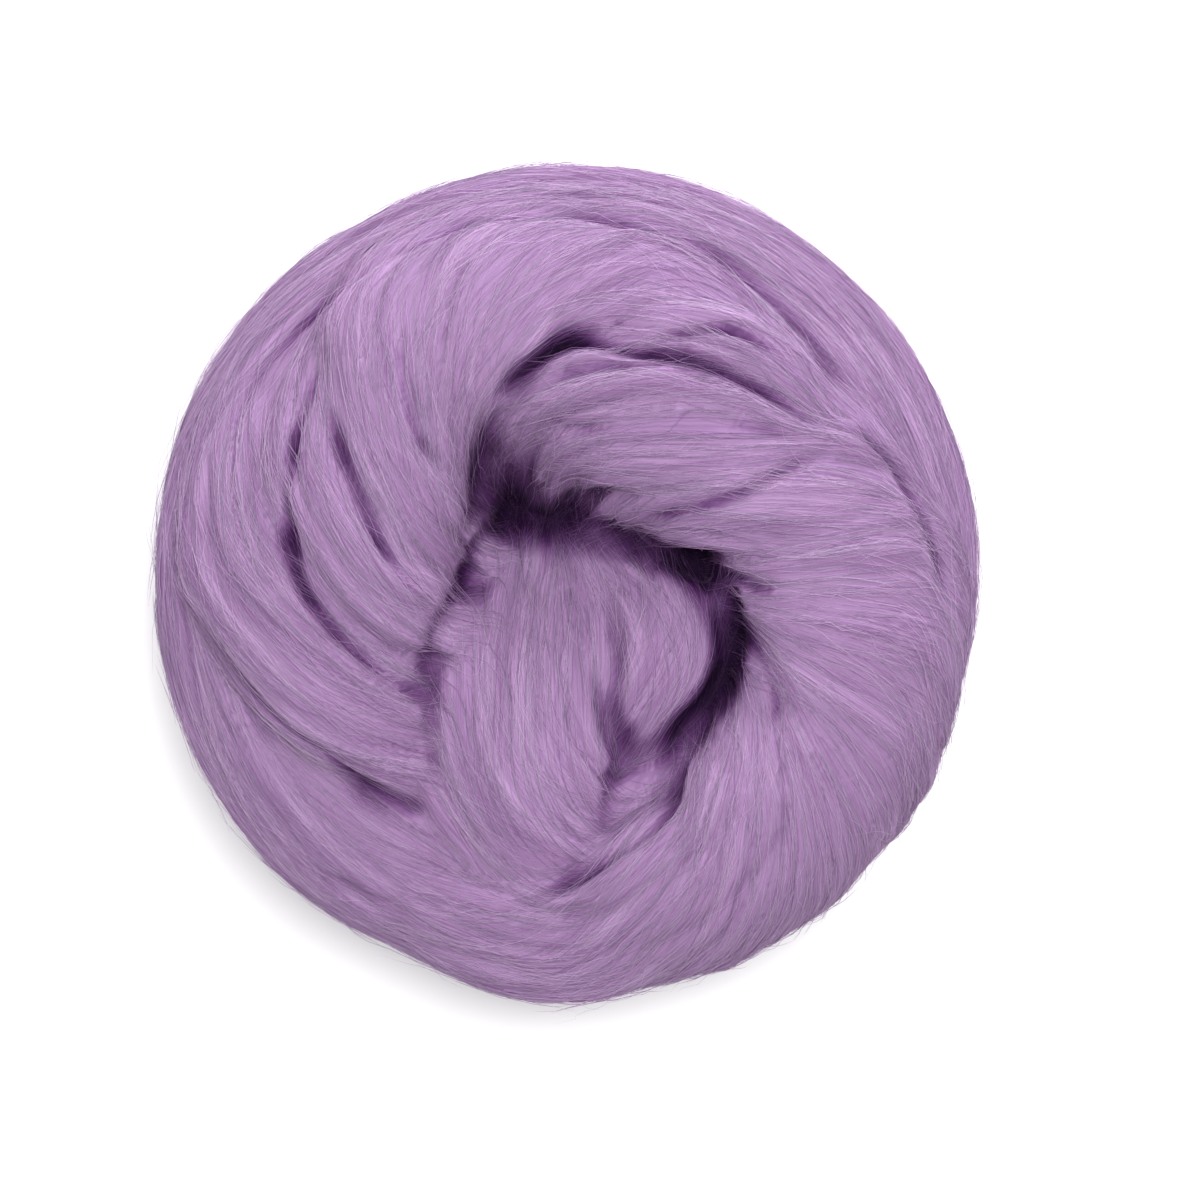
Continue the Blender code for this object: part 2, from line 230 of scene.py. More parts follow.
def crest_height(radius):
    """The height of the ring's skin over the table, at a radius from the ball's middle."""
    if radius < CREST_RADIUS:
        return CREST_HEIGHT - INNER_FALL * (1 - radius / CREST_RADIUS)
    over = (radius - CREST_RADIUS) / (RIM_RADIUS - CREST_RADIUS)
    return RIM_HEIGHT + (CREST_HEIGHT - RIM_HEIGHT) * math.sqrt(1 - over**2)


def lock_rows(lock):
    """Rows along a lock of the ring, from its foot to where it is tucked in."""
    half = lock.deep / 2
    swing = (lock.end_deg - lock.top_deg + 180) % 360 - 180
    crest_r = (lock.top_r + lock.end_r) / 2
    crest_wide = (lock.wide_top + lock.wide_end) / 2
    rim_z = crest_height(lock.rim_r) - RIM_SINK
    top_z = crest_height(lock.top_r) + lock.lift - half
    crest_z = crest_height(crest_r) + lock.lift - half
    end_z = lock.end_z - half
    foot = polar(lock.rim_deg - lock.lead, lock.rim_r - FOOT_INSET - half, rim_z - lock.drop)
    rim = polar(lock.rim_deg, lock.rim_r - half, rim_z)
    top = polar(lock.top_deg, lock.top_r, top_z)
    crest = polar(lock.top_deg + swing / 2, crest_r, crest_z)
    end = polar(lock.end_deg, lock.end_r, end_z)
    tuck = polar(lock.end_deg + TUCK_TURN * swing, lock.end_r - TUCK_INSET, end_z - TUCK_DROP)
    return smooth_rows(
        [
            foot + [FOOT_SHARE * lock.wide_rim, FOOT_SHARE * lock.deep],
            rim + [lock.wide_rim, lock.deep],
            top + [lock.wide_top, lock.deep],
            crest + [crest_wide, lock.deep],
            end + [lock.wide_end, END_DEPTH * lock.deep],
            tuck + [TUCK_SHARE * lock.wide_end, TUCK_SHARE * lock.deep],
        ],
        LOCK_RINGS,
    )


def turn_rows(sections):
    """Rows along a turn of rope, smoothed by bearing so that its path stays round."""
    table = np.array(sections, float)
    bearing_first = np.insert(table, [1, 1], 0, axis=1)
    bearing, _, _, radius, height, wide, deep = smooth_rows(bearing_first, TURN_RINGS).T
    turn = np.radians(bearing)
    return np.column_stack([radius * np.cos(turn), radius * np.sin(turn), height, wide, deep])


def under_rows(index):
    """Rows along one lock of the underside's fan."""
    start = 360 * index / UNDER_COUNT
    rows = [polar(start + s.bearing, s.radius, s.height) + [s.wide, s.deep] for s in UNDER]
    return smooth_rows(rows, LOCK_RINGS)


def bend_rows(bends):
    """Rows along the rope's end, from the heights of its skin."""
    return smooth_rows([[b.east, b.north, b.top - b.deep / 2, b.wide, b.deep] for b in bends], LOCK_RINGS)


# The locks are drawn as soft flat tubes with blunt ends, and pressed together into one
# skin, as on the real ball.
LOCK_POINTS = 36  # round a lock's section
BOXINESS = 0.9  # under 1 makes a section a little boxy
BLUNTNESS = 8  # how late a lock's ends round off
THINNEST = 0.02  # of its thickness at the very ends, squared
SKIN_STEP = 0.76  # the joined skin's grid
SKIN_SMOOTHING = 2
FLAT_SPOT_CUT = 1.5  # the ball's weight presses this much of it flat

# Wool inside, out of sight: a flat heart, a sole, and a ring under the twisted ring.
HEART_RADII = (51.0, 51.0, 16.0)
HEART_HEIGHT = 23.0
SOLE_RADII = (38.0, 38.0, 12.0)
SOLE_HEIGHT = 12.5
FILL_RADIUS = 35.0
FILL_THICK = 15.0
FILL_HEIGHT = 37.5


def unit(vectors):
    """The same directions, each of length 1."""
    return vectors / np.maximum(np.linalg.norm(vectors, axis=1, keepdims=True), 1e-9)


def away_from_ring(points):
    """Directions away from the circle that the twisted ring turns about."""
    middle = np.array([RING_EAST, RING_NORTH])
    circle = unit(points[:, :2] - middle) * RING_RADIUS + middle
    return points - np.column_stack([circle, np.full(len(points), RING_HEIGHT)])


def away_from_middle(points):
    """Directions away from the middle of the ball."""
    return points - [0, 0, RIM_HEIGHT]


def outwards(points):
    """Directions away from the ball's upright axis."""
    return points * [1, 1, 0]


def upwards(points):
    """Straight up, at each point."""
    return points * 0 + [0, 0, 1]


def loft(rows, facing):
    """A closed lock's places, faces, fibre directions, and the frame that each place was drawn from."""
    points, half_wide, half_deep = rows[:, :3], rows[:, 3:4] / 2, rows[:, 4:5] / 2
    tangent = unit(np.gradient(points, axis=0))
    out = facing(points)
    out = unit(out - (out * tangent).sum(1, keepdims=True) * tangent)
    side = np.cross(tangent, out)
    share = np.linspace(-1, 1, len(rows))[:, None]
    blunt = np.sqrt(np.maximum(1 - share**BLUNTNESS, THINNEST))
    length = np.concatenate([[0], np.cumsum(np.linalg.norm(np.diff(points, axis=0), axis=1))])
    verts = []
    for turn in np.linspace(0, 2 * math.pi, LOCK_POINTS, endpoint=False):
        across = math.copysign(abs(math.cos(turn)) ** BOXINESS, math.cos(turn))
        outward = math.copysign(abs(math.sin(turn)) ** BOXINESS, math.sin(turn))
        verts.append(points + blunt * (side * half_wide * across + out * half_deep * outward))
    verts = np.array(verts).transpose(1, 0, 2)
    middle_wide = np.full_like(half_wide, half_wide.mean())
    frames = np.hstack([points, tangent, side, out, length[:, None], half_wide, half_deep, middle_wide])
    flow = np.gradient(verts, axis=0).reshape(-1, 3)
    verts = verts.reshape(-1, 3)
    faces = []
    for ring in range(0, len(verts) - LOCK_POINTS, LOCK_POINTS):
        for k in range(LOCK_POINTS):
            after = (k + 1) % LOCK_POINTS
            faces.append((ring + k, ring + after, ring + after + LOCK_POINTS, ring + k + LOCK_POINTS))
    faces.append(tuple(reversed(range(LOCK_POINTS))))
    faces.append(tuple(range(len(verts) - LOCK_POINTS, len(verts))))
    return verts, faces, unit(flow), np.repeat(frames, LOCK_POINTS, axis=0)


lofts = [loft(lock_rows(lock), away_from_ring) for lock in LOCKS]
lofts += [loft(turn_rows(turn), outwards) for turn in (SIDE_LOW, SIDE_HIGH, RIM_PAD)]
lofts += [loft(under_rows(index), away_from_middle) for index in range(UNDER_COUNT)]
lofts += [loft(bend_rows(bends), upwards) for bends in (TAIL, TIP, TIP_UNDER, NEST)]

pieces = []
for verts, faces, _, _ in lofts:
    mesh = bpy.data.meshes.new("lock")
    mesh.from_pydata([tuple(v) for v in verts * MM], [], faces)
    pieces.append(bpy.data.objects.new("lock", mesh))
    bpy.context.scene.collection.objects.link(pieces[-1])
for radii, height in ((HEART_RADII, HEART_HEIGHT), (SOLE_RADII, SOLE_HEIGHT)):
    bpy.ops.mesh.primitive_uv_sphere_add(segments=64, ring_count=32, radius=1)
    pieces.append(bpy.context.object)
    pieces[-1].data.transform(Matrix.Diagonal([*(radius * MM for radius in radii), 1]))
    pieces[-1].data.transform(Matrix.Translation((0, 0, height * MM)))
bpy.ops.mesh.primitive_torus_add(
    major_segments=96, minor_segments=32, major_radius=FILL_RADIUS * MM, minor_radius=FILL_THICK * MM
)
pieces.append(bpy.context.object)
pieces[-1].data.transform(Matrix.Translation((0, 0, FILL_HEIGHT * MM)))

with bpy.context.temp_override(active_object=pieces[0], selected_editable_objects=pieces):
    bpy.ops.object.join()
raw = pieces[0]
remesh = raw.modifiers.new("one skin", "REMESH")
remesh.mode = "VOXEL"
remesh.voxel_size = SKIN_STEP * MM
soften = raw.modifiers.new("soften", "SMOOTH")
soften.iterations = SKIN_SMOOTHING
skin = bpy.data.meshes.new_from_object(raw.evaluated_get(bpy.context.evaluated_depsgraph_get()))
bpy.data.objects.remove(raw)
skin.name = "wound_wool"

# Each place on the skin takes its fibres' direction from the lock that it lies on. Its
# run is how far it lies along that lock and round it, and the step to the lock's own
# pattern, so that no two locks have the same strands.
LOCK_STEP = 7.0
FLOW_SMOOTHING = 6


def read_skin(name):
    """The skin's places or its normals, with a row for each vertex."""
    values = np.empty(len(skin.vertices) * 3, np.float32)
    skin.vertices.foreach_get(name, values)
    return values.reshape(-1, 3)


places = read_skin("co").astype(float) / MM
of_lock = np.concatenate([np.full(len(verts), k) for k, (verts, _, _, _) in enumerate(lofts)])
lock_places = np.concatenate([verts for verts, _, _, _ in lofts])
lock_flow = np.concatenate([flow for _, _, flow, _ in lofts])
lock_frames = np.concatenate([frames for _, _, _, frames in lofts])
nearest = KDTree(len(lock_places))
for k, place in enumerate(lock_places):
    nearest.insert(place, k)
nearest.balance()
near = np.array([nearest.find(place)[1] for place in places])
flow = lock_flow[near]
own_lock = of_lock[near]
centre, tangent, side, out, rest = np.split(lock_frames[near], [3, 6, 9, 12], axis=1)
length, half_wide, half_deep, middle_wide = rest.T
along = length + ((places - centre) * tangent).sum(1)
up = ((places - centre) * out).sum(1) / half_deep
aside = ((places - centre) * side).sum(1) / half_wide
run = np.column_stack([along, np.arctan2(up, aside) * middle_wide, own_lock * LOCK_STEP])

edges = np.empty(len(skin.edges) * 2, int)
skin.edges.foreach_get("vertices", edges)
edges = edges.reshape(-1, 2)
joined = np.bincount(edges.reshape(-1), minlength=len(places))[:, None]


def neighbours_mean(values):
    """Each place's mean over the places that it is joined to."""
    ends, others = edges.T.reshape(-1), edges[:, ::-1].T.reshape(-1)
    sums = [np.bincount(ends, column[others], len(values)) for column in values.T]
    return np.column_stack(sums) / joined


def smoothed(values, rounds):
    """One value for each place, evened out with its neighbours' a few times."""
    for _ in range(rounds):
        values = neighbours_mean(values[:, None])[:, 0]
    return values


for _ in range(FLOW_SMOOTHING):
    flow = unit(flow + neighbours_mean(flow))

# The strands fade out towards a lock's edges, where the next lock's strands take over.
# Shade is painted into the colour along the shallow valley at each of these edges too.
INSIDE_SMOOTHING = 8
INSIDE_GAIN = 1.6
INSIDE_CUT = 0.4
EDGE_SMOOTHING = 10
inside = np.ones(len(places))
inside[edges[own_lock[edges[:, 0]] != own_lock[edges[:, 1]]].reshape(-1)] = 0
inside = smoothed(inside, INSIDE_SMOOTHING)
lock_edge_shade = smoothed(1 - inside, EDGE_SMOOTHING)
inside = np.clip(inside * INSIDE_GAIN - INSIDE_CUT, 0, 1)

# The flat spot that the ball rests on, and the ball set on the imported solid's place.
places[:, 2] = np.maximum(places[:, 2], FLAT_SPOT_CUT)
low, high = places.min(axis=0), places.max(axis=0)
cad_low, cad_high = (np.array(corner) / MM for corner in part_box("roving_ball"))
shift = [*((cad_low + cad_high - low - high) / 2)[:2], cad_low[2] - low[2]]
places += shift

# The partings between locks, as east, north places seen from above. Each closes to a
# narrow cleft with rounded shoulders, and dies out towards its ends and down the side.
Parting = namedtuple("Parting", "name depth width path")
PARTINGS = [
    Parting("crown_to_ridges", 2.4, 1.1,
        [(-11, 18), (-9.5, 23), (-5.5, 28), (0, 31.8), (6, 31.7), (13, 30.2), (20, 28.3), (29, 24),
         (37, 19)]),
    Parting("ridge_top", 1.5, 0.8,
        [(9, 32), (15, 33), (21, 33.8), (28, 31.5), (33, 27), (37, 20)]),
    Parting("ridge_face", 0.9, 0.8,
        [(-5, 21), (4, 20), (14, 20.4), (24, 20.6), (35, 18)]),
    Parting("ridge_edge", 1.2, 0.8,
        [(-6, 25), (3, 28.3), (14, 27.8), (24, 25)]),
    Parting("shoulder_fold", 1.4, 0.8,
        [(8, 8), (15, 8.5), (21, 10.5), (27, 13.5), (36, 18)]),
    Parting("shoulder_foot", 1.8, 1.4,
        [(0, 10), (6, 5.5), (12, 3.4), (18, 1.6), (24, -1), (31, -3)]),
    Parting("fan_cleft", 1.5, 2.2,
        [(20.5, -4), (24.5, -9), (27, -14), (28, -21)]),
    Parting("lobe_side", 2.0, 1.2,
        [(17, 2), (21.5, -3), (22.5, -9), (20, -15.5), (15.5, -20.5), (12, -26)]),
    Parting("lobe_to_tail", 0.8, 1.3,
        [(2, 3), (5, -4), (6.5, -11), (6.5, -19), (10, -26)]),
    Parting("tail_to_arm", 1.6, 0.9,
        [(16, -25), (14, -30), (9, -34.7), (5, -37.7), (-1, -41.3), (-8, -43.5)]),
    Parting("tail_to_sweeps", 0.5, 1.0,
        [(-11, 8), (-13.5, -2), (-16.3, -9), (-18.3, -17), (-18, -25), (-14.5, -35), (-7, -42)]),
    Parting("lowest_sweep", 2.7, 1.2,
        [(-52, -1), (-48, -9), (-44, -14.5), (-37.5, -21.5), (-31, -26.5), (-24, -30), (-18, -32)]),
    Parting("tail_shoulder", 1.9, 1.5,
        [(-8.5, 11), (-10.5, 6), (-13, 0.5), (-15.5, -4.5), (-18, -9.5), (-19.5, -14)]),
    Parting("middle_sweep", 1.7, 0.8,
        [(-32, 33), (-36, 22), (-38, 11), (-36, 0), (-30, -8), (-20, -15), (-14, -18)]),
    Parting("crown_sweep", 1.4, 0.8,
        [(-33, 26), (-30, 16.5), (-26.5, 9), (-21.5, 0), (-13, -8)]),
    Parting("crown_strand", 1.2, 0.8,
        [(-22.5, 35), (-22, 27), (-20, 19.5), (-16, 14)]),
    Parting("crown_side", 1.5, 1.6,
        [(-8, 27), (-10.5, 19), (-12, 9), (-14, 0)]),
    Parting("top_turn", 1.7, 1.1,
        [(-47, 14), (-43, 27), (-33, 38.5), (-20, 47), (-5, 50.3), (10, 48.5), (23, 43), (34, 32),
         (40, 20)]),
    Parting("right_turn", 1.6, 1.0,
        [(39, 22), (45, 15.5), (50, 6), (52.5, -4)]),
    Parting("arm_fold", 0.9, 1.2,
        [(-16, -47), (-4, -45.5), (7, -44), (17, -37), (24, -28)]),
    Parting("arm_strand", 0.8, 1.2,
        [(6, -52), (18, -47), (27, -38), (31, -28)]),
]
PARTING_PLACES = 160  # along each path
PARTING_REACH = 9  # as far to the side as it is felt
PARTING_FLOOR = 30.0  # it dies out between these two heights
PARTING_FULL = 42.0
ENDS_FADE = 5  # and over this part of its length at each end, here a fifth
CLEFT_SHARE = 0.8  # of its depth
SHOULDER_SHARE = 0.2
SHOULDER_WIDTH = 2.4  # times the cleft's width
# The painted shade along each parting: how deep a parting must be for its darkest, and how wide.
PAINTED_SHADE_DEPTH = 2.0  # a parting this deep is darkest at its foot
PAINTED_SHADE_WIDTH = 0.75
PRESS_SMOOTHING = 12

cleft_depth = np.zeros(len(places))
parting_shade = np.zeros(len(places))
for parting in PARTINGS:
    stations = [[east, north, 0, 1] for east, north in parting.path]
    curve = smooth_rows(stations, PARTING_PLACES)[:, :2]
    last = len(curve) - 1
    line = KDTree(len(curve))
    for k, (east, north) in enumerate(curve):
        line.insert((east, north, 0), k)
    line.balance()
    south_west, north_east = curve.min(axis=0) - PARTING_REACH, curve.max(axis=0) + PARTING_REACH
    close = (places[:, :2] > south_west).all(1) & (places[:, :2] < north_east).all(1)
    for k in np.flatnonzero(close & (places[:, 2] > PARTING_FLOOR)):
        _, station, gap = line.find((places[k, 0], places[k, 1], 0))
        fade = min(1.0, ENDS_FADE * min(station, last - station) / last)
        fade *= min(1.0, (places[k, 2] - PARTING_FLOOR) / (PARTING_FULL - PARTING_FLOOR))
        foot = math.exp(-((gap / parting.width) ** 2))
        shoulder = math.exp(-((gap / parting.width / SHOULDER_WIDTH) ** 2))
        cleft = CLEFT_SHARE * foot + SHOULDER_SHARE * shoulder
        cleft_depth[k] = max(cleft_depth[k], parting.depth * fade * cleft)
        # A dark line is painted along the cleft's foot, as the shade in it.
        painted_dark = min(1.0, parting.depth / PAINTED_SHADE_DEPTH) * fade * math.exp(-((gap / PAINTED_SHADE_WIDTH) ** 2))
        parting_shade[k] = max(parting_shade[k], painted_dark)

inwards = -read_skin("normal")
for _ in range(PRESS_SMOOTHING):
    inwards = neighbours_mean(inwards)
places += unit(inwards) * cleft_depth[:, None]


def keep_on_skin(name, kind, values):
    """Stores one value or direction for each place of the skin."""
    values = np.ascontiguousarray(values, np.float32)
    field = "vector" if kind == "FLOAT_VECTOR" else "value"
    skin.attributes.new(name, kind, "POINT").data.foreach_set(field, values.reshape(-1))


skin.vertices.foreach_set("co", (places * MM).reshape(-1))
keep_on_skin("flow", "FLOAT_VECTOR", flow)
keep_on_skin("run", "FLOAT_VECTOR", run)
keep_on_skin("inside", "FLOAT", inside)
skin.shade_smooth()
wound_wool = bpy.data.objects.new("wound_wool", skin)
bpy.context.scene.collection.objects.link(wound_wool)


def add(tree, kind, inputs=None, **settings):
    """A node with its settings, and each input set to a value or linked.

    An input is linked to a socket, or to a node's first output that is in use.
    """
    node = tree.nodes.new(kind)
    for name, value in settings.items():
        setattr(node, name, value)
    for key, value in (inputs or {}).items():
        if isinstance(value, bpy.types.Node):
            value = next(output for output in value.outputs if output.enabled)
        if isinstance(value, bpy.types.NodeSocket):
            tree.links.new(value, node.inputs[key])
        else:
            node.inputs[key].default_value = value
    return node


def empty_tree(name, sizes):
    """A tree that takes a mesh and the named inputs, and gives a mesh."""
    tree = bpy.data.node_groups.new(name, "GeometryNodeTree")
    tree.interface.new_socket("Geometry", in_out="INPUT", socket_type="NodeSocketGeometry")
    for label, kind in sizes.items():
        tree.interface.new_socket(label, in_out="INPUT", socket_type=f"NodeSocket{kind}")
    tree.interface.new_socket("Geometry", in_out="OUTPUT", socket_type="NodeSocketGeometry")
    return tree


def plain_mesh(obj, tree, values):
    """The object's mesh after the tree, with the named inputs set."""
    modifier = obj.modifiers.new(tree.name, "NODES")
    modifier.node_group = tree
    for item in tree.interface.items_tree:
        if item.in_out == "INPUT" and item.name in values:
            modifier[item.identifier] = values[item.name]
    mesh = bpy.data.meshes.new_from_object(obj.evaluated_get(bpy.context.evaluated_depsgraph_get()))
    obj.modifiers.remove(modifier)
    return mesh


# The strands of each lock: how often each pattern repeats in a millimetre, along the lock
# and round it, and how far it moves on from lock to lock. Broad strands are about 3 mm
# wide, the thin partings between strands a few millimetres apart, and the bundles that
# share a shade 2 mm wide.
STRANDS = (0.025, 0.3, 1.0)
STRAND_PARTINGS = (0.018, 0.17, 3.0)
BUNDLES = (0.025, 0.45, 2.0)
STRAND_DEPTH = 2.2
STRAND_PARTING_DEPTH = 0.8
PARTING_STEEPNESS = 22.0  # makes a thin parting about 1 mm wide


def strand_relief():
    """The tree that parts the skin into strands along its fibres."""
    sizes = {"Strand depth": "Float", "Parting depth": "Float", "Wool": "Material"}
    tree = empty_tree("strand relief", sizes)
    given = add(tree, "NodeGroupInput").outputs
    run = add(tree, "GeometryNodeInputNamedAttribute", {"Name": "run"}, data_type="FLOAT_VECTOR")
    inside = add(tree, "GeometryNodeInputNamedAttribute", {"Name": "inside"})

    # Broad strands that swell and sink.
    strand_at = add(tree, "ShaderNodeVectorMath", {0: run, 1: STRANDS}, operation="MULTIPLY")
    strand = add(tree, "ShaderNodeTexNoise", {"Vector": strand_at, "Scale": 1.0, "Detail": 2.0})
    rise = add(tree, "ShaderNodeMath", {0: strand, 1: 0.5}, operation="SUBTRACT")
    swell = add(tree, "ShaderNodeMath", {0: rise, 1: given["Strand depth"]}, operation="MULTIPLY")

    # A thin parting runs where a second noise crosses its middle value.
    part_at = add(tree, "ShaderNodeVectorMath", {0: run, 1: STRAND_PARTINGS}, operation="MULTIPLY")
    part = add(tree, "ShaderNodeTexNoise", {"Vector": part_at, "Scale": 1.0, "Detail": 1.0})
    off_middle = add(tree, "ShaderNodeMath", {0: part, 1: 0.5}, operation="SUBTRACT")
    off_line = add(tree, "ShaderNodeMath", {0: off_middle}, operation="ABSOLUTE")
    flank = add(tree, "ShaderNodeMath", {0: off_line, 1: PARTING_STEEPNESS}, operation="MULTIPLY")
    shoulder = add(tree, "ShaderNodeMath", {0: flank, 1: 1.0}, operation="MINIMUM")
    foot = add(tree, "ShaderNodeMath", {0: 1.0, 1: shoulder}, operation="SUBTRACT")
    cut = add(tree, "ShaderNodeMath", {0: foot, 1: given["Parting depth"]}, operation="MULTIPLY")

    # Both fade out at the lock's edges.
    relief = add(tree, "ShaderNodeMath", {0: swell, 1: cut}, operation="SUBTRACT")
    height = add(tree, "ShaderNodeMath", {0: relief, 1: inside}, operation="MULTIPLY")
    normal = add(tree, "GeometryNodeInputNormal")
    offset = add(tree, "ShaderNodeVectorMath", {0: normal, "Scale": height}, operation="SCALE")
    skin = add(tree, "GeometryNodeSetPosition", {"Geometry": given["Geometry"], "Offset": offset})

    # The bundles of fibres, for the shades of the skin and of the fibres on it.
    bundle_at = add(tree, "ShaderNodeVectorMath", {0: run, 1: BUNDLES}, operation="MULTIPLY")
    noise = add(tree, "ShaderNodeTexNoise", {"Vector": bundle_at, "Scale": 1.0, "Detail": 3.0})
    shift = add(tree, "ShaderNodeMath", {0: noise, 1: 0.5}, operation="SUBTRACT")
    bundle = add(tree, "ShaderNodeMath", {0: shift, 1: inside, 2: 0.5}, operation="MULTIPLY_ADD")
    skin = add(tree, "GeometryNodeStoreNamedAttribute", {"Geometry": skin, "Name": "bundle", "Value": bundle})

    whole = add(tree, "GeometryNodeRealizeInstances", {"Geometry": skin})
    done = add(tree, "GeometryNodeSetMaterial", {"Geometry": whole, "Material": given["Wool"]})
    add(tree, "NodeGroupOutput", {0: done})
    return tree


def linear(code):
    """An sRGB hex colour as linear red, green and blue."""
    parts = [int(code[k : k + 2], 16) / 255 for k in (1, 3, 5)]
    return [*(p / 12.92 if p <= 0.04045 else ((p + 0.055) / 1.055) ** 2.4 for p in parts), 1]


def dyed_wool(name, roughness, sheen):
    """Dyed wool: matt, with the faint bloom at its edges that fine fibres give it."""
    finish = bpy.data.materials.new(name)
    finish.use_nodes = True
    shader = finish.node_tree.nodes["Principled BSDF"]
    shader.inputs["Roughness"].default_value = roughness
    shader.inputs["Specular IOR Level"].default_value = 0.1
    shader.inputs["Sheen Weight"].default_value = sheen
    shader.inputs["Sheen Roughness"].default_value = 0.3
    shader.inputs["Sheen Tint"].default_value = linear("#D9A9E4")
    return finish, shader


# Painted shade: the wool's colour is made darker and more purple in the creases, standing
# in for light that is caught there and passes through dyed wool again and again.
PAINTED_SHADE_PURPLE = linear("#5A2569")
PAINTED_SHADE_PURPLE_SHARE = 0.7


def painted_crease_shade(tree, colour, gain):
    """The colour with painted shade: darker and more purple where the crease mask is high."""
    crease = add(tree, "ShaderNodeAttribute", attribute_name="crease").outputs["Fac"]
    share = add(tree, "ShaderNodeMath", {0: crease, 1: PAINTED_SHADE_PURPLE_SHARE}, operation="MULTIPLY")
    purple = add(tree, "ShaderNodeMix", {0: share, 6: colour, 7: PAINTED_SHADE_PURPLE}, data_type="RGBA")
    gamma = add(tree, "ShaderNodeMath", {0: crease, 1: gain, 2: 1.0}, operation="MULTIPLY_ADD")
    return add(tree, "ShaderNodeGamma", {"Color": purple, "Gamma": gamma}).outputs[0]


STREAKS = (0.07, 4.0, 1.0)  # in a millimetre, along a lock and round it, and from lock to lock


def combed_wool():
    """Combed wool, dyed lilac: fine matt fibres lie side by side, so it looks streaked along them.

    The streaks are 0.25 mm wide, because the fibres' real 0.02 mm is too fine to show.
    Shade is painted into its colour in the creases: darker and more purple there.
    """
    finish, shader = dyed_wool("lilac combed wool", roughness=0.75, sheen=0.15)
    tree = finish.node_tree
    run = add(tree, "ShaderNodeAttribute", attribute_name="run").outputs["Vector"]
    inside = add(tree, "ShaderNodeAttribute", attribute_name="inside").outputs["Fac"]
    bundle = add(tree, "ShaderNodeAttribute", attribute_name="bundle").outputs["Fac"]
    streak_at = add(tree, "ShaderNodeVectorMath", {0: run, 1: STREAKS}, operation="MULTIPLY")
    streaks = add(tree, "ShaderNodeTexNoise", {"Vector": streak_at, "Scale": 1.0, "Detail": 4.0})
    streak = add(tree, "ShaderNodeMix", {0: inside, 2: 0.5, 3: streaks})
    light = add(tree, "ShaderNodeMapRange", {0: streak, 1: 0.3, 2: 0.7})
    shades = {0: light, 6: linear("#7D6086"), 7: linear("#AF8FB7")}
    lilac = add(tree, "ShaderNodeMix", shades, data_type="RGBA")
    dull = add(tree, "ShaderNodeMapRange", {0: bundle, 1: 0.65, 2: 0.35, 3: 0.0, 4: 0.7})
    heather = add(tree, "ShaderNodeMix", {0: dull, 6: lilac, 7: linear("#7C5C86")}, data_type="RGBA")
    tree.links.new(painted_crease_shade(tree, heather, 1.7), shader.inputs["Base Color"])
    bump = add(tree, "ShaderNodeBump", {"Height": streak, "Strength": 0.5, "Distance": 0.3 * MM})
    tree.links.new(bump.outputs[0], shader.inputs["Normal"])
    return finish


wound_wool.data = plain_mesh(
    wound_wool,
    strand_relief(),
    {"Strand depth": STRAND_DEPTH * MM, "Parting depth": STRAND_PARTING_DEPTH * MM, "Wool": combed_wool()},
)
skin = wound_wool.data
skin.name = "wound_wool"

# The table presses the lowest strands flat.
places = read_skin("co") / MM
places[:, 2] = np.maximum(places[:, 2], 0)
skin.vertices.foreach_set("co", (places * MM).reshape(-1))
skin.update()
normals = read_skin("normal")

# How deep in a crease or a hollow each place lies, from 0 on the open skin to 1: the mask
# for the shade that is painted into the wool's colour. It is the share of short sight lines
# out of the place that meet wool again, the far wool counting for less, with the partings'
# painted dark lines and the lock edges' painted shade on top.
SIGHT_LINES = 14
SIGHT_REACH = 11.0
SIGHT_START = 0.25  # over the skin
SIGHT_TURN = 2.39996  # the golden angle, which spreads the lines evenly
SIGHT_SEED = 7
FAR_LOSS = 0.5
CREASE_SMOOTHING = 3
CREASE_FROM = 0.18  # the share that is met on the open skin
CREASE_SPAN = 0.46
# How much the partings' painted dark lines and the lock edges' painted shade add.
PARTING_SHADE_SHARE = 0.45
EDGE_SHADE_SHARE = 0.3

wool_skin = BVHTree.FromPolygons(places.tolist(), [tuple(face.vertices) for face in skin.polygons])
random = np.random.default_rng(SIGHT_SEED)
spin = random.uniform(0, 2 * math.pi, len(places))
least_along = np.where(np.abs(normals[:, 2:]) < 0.9, [[0, 0, 1.0]], [[1.0, 0, 0]])
east_side = unit(np.cross(normals, least_along))
north_side = np.cross(normals, east_side)
starts = places + normals * SIGHT_START
met = np.zeros(len(places))
for k in range(SIGHT_LINES):
    lean = math.sqrt((k + 0.5) / SIGHT_LINES)
    turn = spin + k * SIGHT_TURN
    sights = (
        normals * math.sqrt(1 - lean * lean)
        + east_side * (lean * np.cos(turn))[:, None]
        + north_side * (lean * np.sin(turn))[:, None]
    )
    for i, (start, sight) in enumerate(zip(starts.tolist(), sights.tolist())):
        gap = wool_skin.ray_cast(start, sight, SIGHT_REACH)[3]
        if gap is not None:
            met[i] += 1 - FAR_LOSS * gap / SIGHT_REACH
crease = smoothed(met / SIGHT_LINES, CREASE_SMOOTHING)
crease = (crease - CREASE_FROM) / CREASE_SPAN + PARTING_SHADE_SHARE * parting_shade + EDGE_SHADE_SHARE * lock_edge_shade
keep_on_skin("crease", "FLOAT", np.clip(crease, 0, 1))

# Fewer fibres are laid where the ball rests than on the sides and the top.
COVER_SIDE = 0.62
COVER_TOP_MORE = 0.5
COVER_LEAST = 0.3
keep_on_skin("cover", "FLOAT", np.clip(COVER_SIDE + COVER_TOP_MORE * normals[:, 2], COVER_LEAST, 1.0))
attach(wound_wool, "root")
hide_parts("roving_ball")

